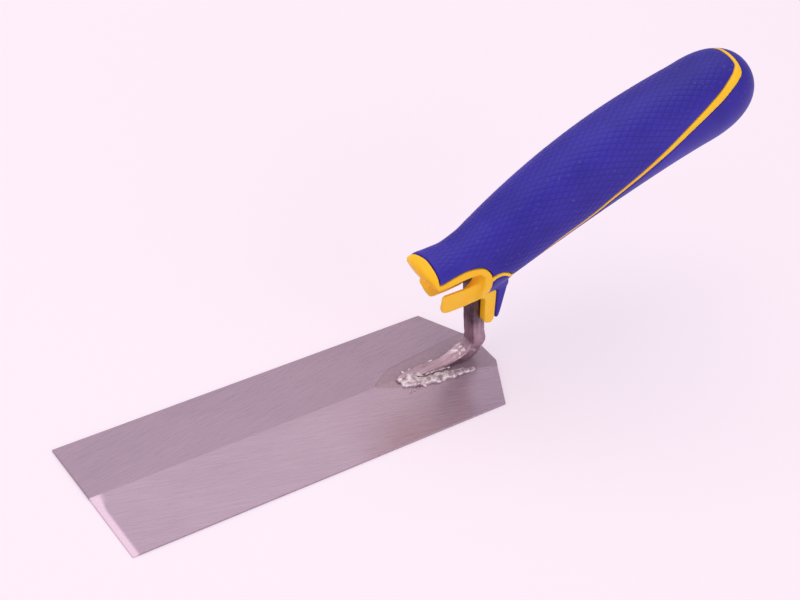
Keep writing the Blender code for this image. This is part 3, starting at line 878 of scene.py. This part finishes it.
def core_form(x, y, z):
    outer = outer_form(x, y, z)
    wx, wz = side_view(x, z)
    above, half = stripe_fields(x, y, z)
    stripe = smooth_max(outer, np.abs(above) - half, BLEND["crisp"])
    front = smooth_max(outer, outline_distance(FRONT_REGION, wx, wz) + GAP, BLEND["mould"])
    core = np.minimum(np.minimum(outer + GRIP_SKIN + GAP, stripe), front)
    core = smooth_max(core, -outline_distance(UNDERCUT_CURVE, wx, wz), BLEND["mouth"])
    prongs = smooth_max(prong_form(x, y, z), outline_distance(FRONT_REGION, wx, wz) + GAP, BLEND["mould"])
    core = smooth_min(core, prongs, BLEND["prong"])
    core = smooth_min(core, channel_form(x, y, z), BLEND["crisp"])
    gap = np.maximum(outline_distance(np.array(PRONG_GAP), wx, wz), np.abs(y) - PRONG_GAP_HALF)
    core = smooth_max(core, -gap, BLEND["mould"])
    bar = line_distance([row[:2] for row in TANG_PATH], wx, wz)[0]
    socket = np.maximum(bar, np.abs(y)) - SOCKET_HALF - GAP
    return np.maximum(core, -socket)


def pad_form(x, y, z, sign):
    """The soft skin on one side of the stripe: sign is 1 above it and -1 below it."""
    outer = outer_form(x, y, z)
    above, half = stripe_fields(x, y, z)
    pad = smooth_max(outer, half + GAP - sign * above, BLEND["pad"])
    return np.maximum(pad, -(outer + GRIP_SKIN))


def upper_form(x, y, z):
    return smooth_max(pad_form(x, y, z, 1), -outline_distance(FRONT_REGION, *side_view(x, z)), BLEND["pad"])


def lower_form(x, y, z):
    outer = outer_form(x, y, z)
    wx, wz = side_view(x, z)
    flare = LEG_FLARE * np.maximum(wz - LEG_TOP, 0)
    leg = smooth_max(outline_distance(LEG_CURVE, wx, wz), np.abs(y) - LEG_HALF - flare, BLEND["pad"])
    leg = np.maximum(leg, -(outer + GRIP_SKIN))
    pad = smooth_min(pad_form(x, y, z, -1), leg, BLEND["leg"])
    pad = smooth_max(pad, -outline_distance(FRONT_REGION, wx, wz), BLEND["crisp"])
    return np.maximum(pad, GAP - channel_form(x, y, z))


def hatch_place(points):
    """Millimetres along the handle and round it from its top line."""
    x, y, z = points.T
    middle = (through(STATIONS, TOPS, x) + through(STATIONS, BOTTOMS, x)) / 2
    return x, np.arctan2(y, z - middle) * GRIP_RADIUS


def hatch_fade(points):
    """1 where the hatching is full, falling to 0 at the pad's edges."""
    x, y, z = points.T
    above, half = stripe_fields(x, y, z)
    wx, wz = side_view(x, z)
    edge = np.minimum(above - half, outline_distance(FRONT_REGION, wx, wz))
    return np.clip((edge - 1.2) / 2.0, 0, 1)


def hatched_form(x, y, z):
    """The upper pad with its grooves cut in."""
    points = np.stack([x, y, z], 1)
    along, around = hatch_place(points)
    groove = 0.0
    for side in (-1, 1):
        across = (along * math.sin(HATCH_TURN) + side * around * math.cos(HATCH_TURN)) / HATCH_PITCH
        wave = np.abs(np.sin(math.pi * across)) / math.sin(math.pi * HATCH_SHARE)
        groove = np.maximum(groove, np.clip(1 - wave, 0, 1))
    skin = outer_form(x, y, z) > -1
    return upper_form(x, y, z) + HATCH_DEPTH * groove * hatch_fade(points) * skin


def to_frame(points):
    x, y, z = points.T
    wx, wz = side_view(x, z)
    return np.stack([wx, y, wz], 1)


def build_handle(core_finish, upper_finish, lower_finish):
    across = grid_line((-15.3, 15.5, 0.3))
    core_axes = (grid_line((-29, 9, 0.25), (9, 110.5, 0.5)), across, grid_line((-30, 20, 0.3)))
    points, faces = surface_of(core_form, core_axes)
    points = to_frame(settle(points, core_form))
    new_piece("core_and_stripe", points, faces, core_finish, "handle_core")

    upper_axes = (grid_line((-26, 107.5, 0.36)), across, grid_line((-12, 22.5, 0.3)))
    points, faces = surface_of(upper_form, upper_axes)
    points = settle(settle(points, upper_form), hatched_form, 1)
    piece = new_piece("pad_upper", to_frame(points), faces, upper_finish, "upper_grip")
    add_uv(piece, np.stack(hatch_place(points), 1))
    add_point_values(piece, "hatch", hatch_fade(points))

    lower_axes = (grid_line((-10, 90, 0.5), (90, 112.5, 0.3)), across, grid_line((-30, 18, 0.32)))
    points, faces = surface_of(lower_form, lower_axes)
    points = to_frame(settle(points, lower_form))
    new_piece("pad_lower", points, faces, lower_finish, "lower_grip")


# ---- stage ----

FLOOR_HALF = 6000
FLOOR_DROP = 0.05  # keeps the floor clear of the blade's underside
LIT_POINT = (20, 0, 30)
LENS = 82.08
SENSOR = 36
CAMERA_AT = (-275.7, -330.9, 408.8)
CAMERA_RIGHT = (0.799, -0.5835, 0.145)
CAMERA_FORWARD = (0.5285, 0.5666, -0.6322)


def build_floor():
    mesh = bpy.data.meshes.new("floor")
    corners = ((-1, -1), (1, -1), (1, 1), (-1, 1))
    points = [(x * FLOOR_HALF * MM, y * FLOOR_HALF * MM, -FLOOR_DROP * MM) for x, y in corners]
    mesh.from_pydata(points, [], [(0, 1, 2, 3)])
    mesh.materials.append(floor_paint())
    floor = bpy.data.objects.new("floor", mesh)
    bpy.context.scene.collection.objects.link(floor)


def softbox(name, at, size, watts):
    """A rectangular lamp that faces the middle of the tool."""
    lamp = bpy.data.lights.new(name, "AREA")
    lamp.shape = "RECTANGLE"
    lamp.size, lamp.size_y = size[0] * MM, size[1] * MM
    lamp.energy = watts
    obj = bpy.data.objects.new(name, lamp)
    bpy.context.scene.collection.objects.link(obj)
    obj.location = Vector(at) * MM
    obj.rotation_euler = (Vector(LIT_POINT) - Vector(at)).to_track_quat("-Z", "Y").to_euler()


def build_lights():
    softbox("overhead", (100, 300, 900), (1200, 1000), 5.0)
    softbox("left", (-900, -100, 500), (700, 700), 2.0)
    softbox("front", (200, -900, 500), (900, 600), 2.4)
    world = bpy.data.worlds.new("studio")
    bpy.context.scene.world = world
    world.use_nodes = True
    background = world.node_tree.nodes["Background"]
    background.inputs["Color"].default_value = (1.0, 0.97, 0.99, 1)
    background.inputs["Strength"].default_value = 0.53


def build_camera():
    lens = bpy.data.cameras.new("camera")
    lens.sensor_width = SENSOR
    lens.lens = LENS
    lens.clip_start, lens.clip_end = 0.01, 50
    camera = bpy.data.objects.new("camera", lens)
    bpy.context.scene.collection.objects.link(camera)
    forward = Vector(CAMERA_FORWARD).normalized()
    up = Vector(CAMERA_RIGHT).cross(forward).normalized()
    right = forward.cross(up)
    turn = Matrix((right, up, -forward)).transposed().to_4x4()
    camera.matrix_world = Matrix.Translation(Vector(CAMERA_AT) * MM) @ turn
    bpy.context.scene.camera = camera


build_blade(ground_steel())
build_tang(bar_steel())
build_welds(weld_metal())
rubbers = grip_rubber("grip_rubber_hatched", True), grip_rubber("grip_rubber_smooth", False)
build_handle(core_plastic(), *rubbers)
build_floor()
build_lights()
build_camera()
bpy.context.scene.view_settings.view_transform = "Standard"
